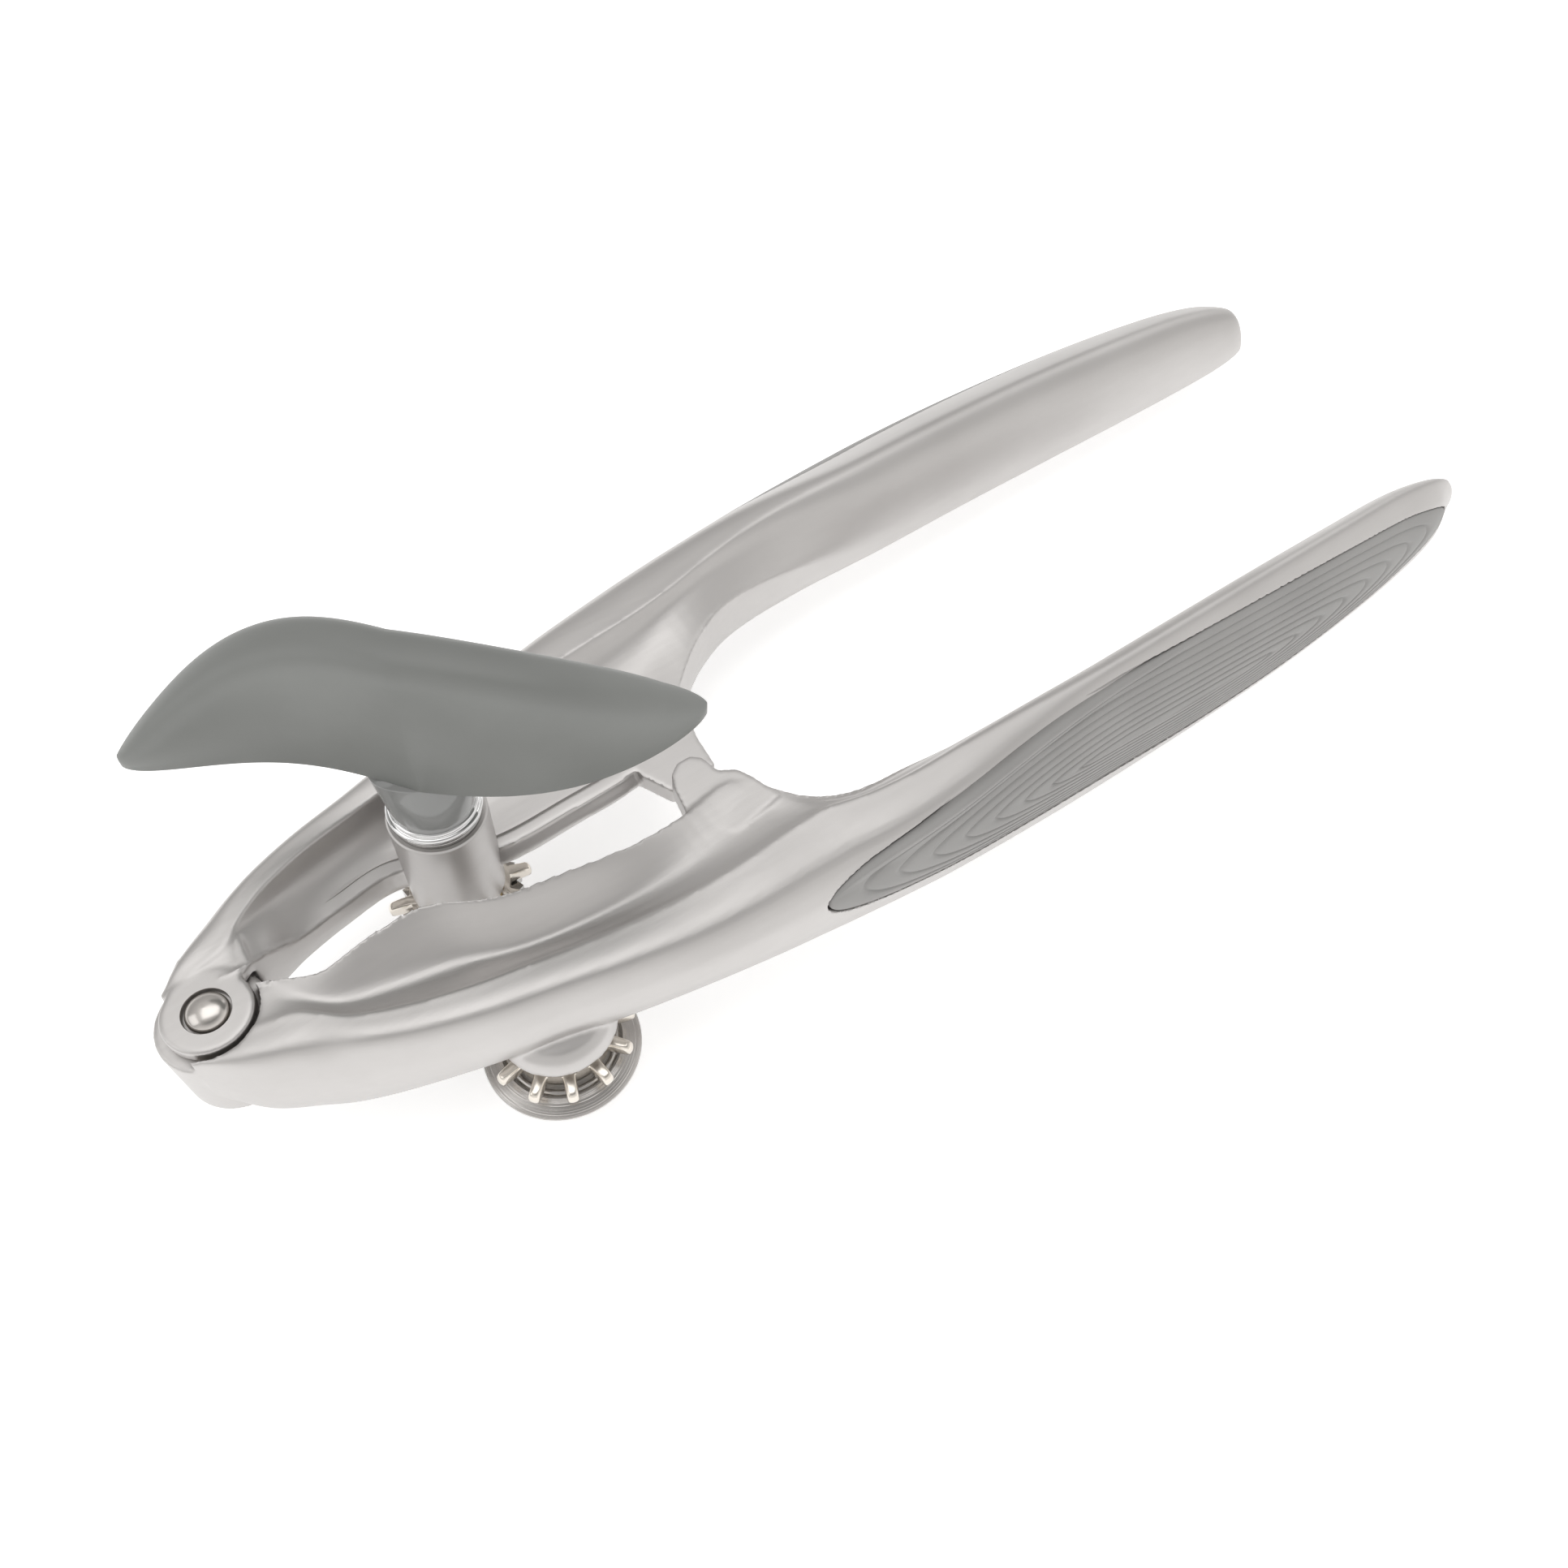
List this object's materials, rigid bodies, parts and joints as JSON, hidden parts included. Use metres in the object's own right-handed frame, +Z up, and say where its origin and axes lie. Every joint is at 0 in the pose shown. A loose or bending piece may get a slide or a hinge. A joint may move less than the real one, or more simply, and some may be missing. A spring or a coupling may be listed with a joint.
{
  "type": "can opener",
  "caption": "Hand-held twist-key can opener: two pivoted cast arms, a winged key that turns a gear and feed wheel, and a geared cutter wheel.",
  "frame": {"origin": "middle of the footprint at table height, in the open rest pose", "axes": "+X from the nose to the handle ends, +Y towards the arm that carries the key, +Z up the key's shaft"},
  "size_m": [0.2254, 0.0772, 0.0572],
  "materials": {
    "cast_arm": "satin blasted nickel-chrome on die-cast zinc",
    "grip": "matte grey moulded inlay",
    "key_plastic": "fine matte grey moulding",
    "stem_gloss": "glossy grey moulding",
    "chrome": "polished chrome",
    "bright_steel": "bright turned steel",
    "turned_steel": "fine concentric turning",
    "cutter_steel": "hardened steel with a turned cone",
    "nickel_gear": "warm nickel plate",
    "brass": "plain brass washer stock"
  },
  "bodies": {
    "key_arm": {"upper_arm": "cast_arm", "upper_grip": "grip", "shaft_bushing": "turned_steel"},
    "cutter_arm": {"lower_arm": "cast_arm", "lower_grip": "grip", "pivot_rivet": "bright_steel", "pivot_washer": "brass", "pivot_burr_washer": "bright_steel", "cutter_axle": "bright_steel", "cutter_sleeve": "brass", "cutter_spring_washer": "bright_steel"},
    "drive": {"drive_shaft": "bright_steel", "knob_wing": "key_plastic", "knob_stem": "stem_gloss", "knob_collar": "chrome", "knob_pin": "bright_steel", "wave_washer": "bright_steel", "thrust_washer": "brass", "drive_gear": "nickel_gear", "feed_wheel": "turned_steel", "feed_nut": "bright_steel"},
    "cutter": {"cutter_gear": "nickel_gear", "cutter_spacer": "turned_steel", "cutter_wheel": "cutter_steel"}
  },
  "joints": [
    {"name": "arm_pivot", "type": "hinge", "parent": "key_arm", "child": "cutter_arm", "pos_m": [-0.1063, -0.00232, 0.02], "axis": [0, 0, 1], "range_deg": [-8, 12]},
    {"name": "key_spin", "type": "hinge", "parent": "key_arm", "child": "drive", "pos_m": [-0.0739, 0.00228, 0.02], "axis": [0, 0, 1], "continuous": true},
    {"name": "cutter_spin", "type": "hinge", "parent": "cutter_arm", "child": "cutter", "pos_m": [-0.0747, -0.02222, 0.008], "axis": [0, 0, 1], "continuous": true}
  ],
  "couplings": [
    {"joint": "cutter_spin", "follows": "key_spin", "ratio": -1}
  ]
}
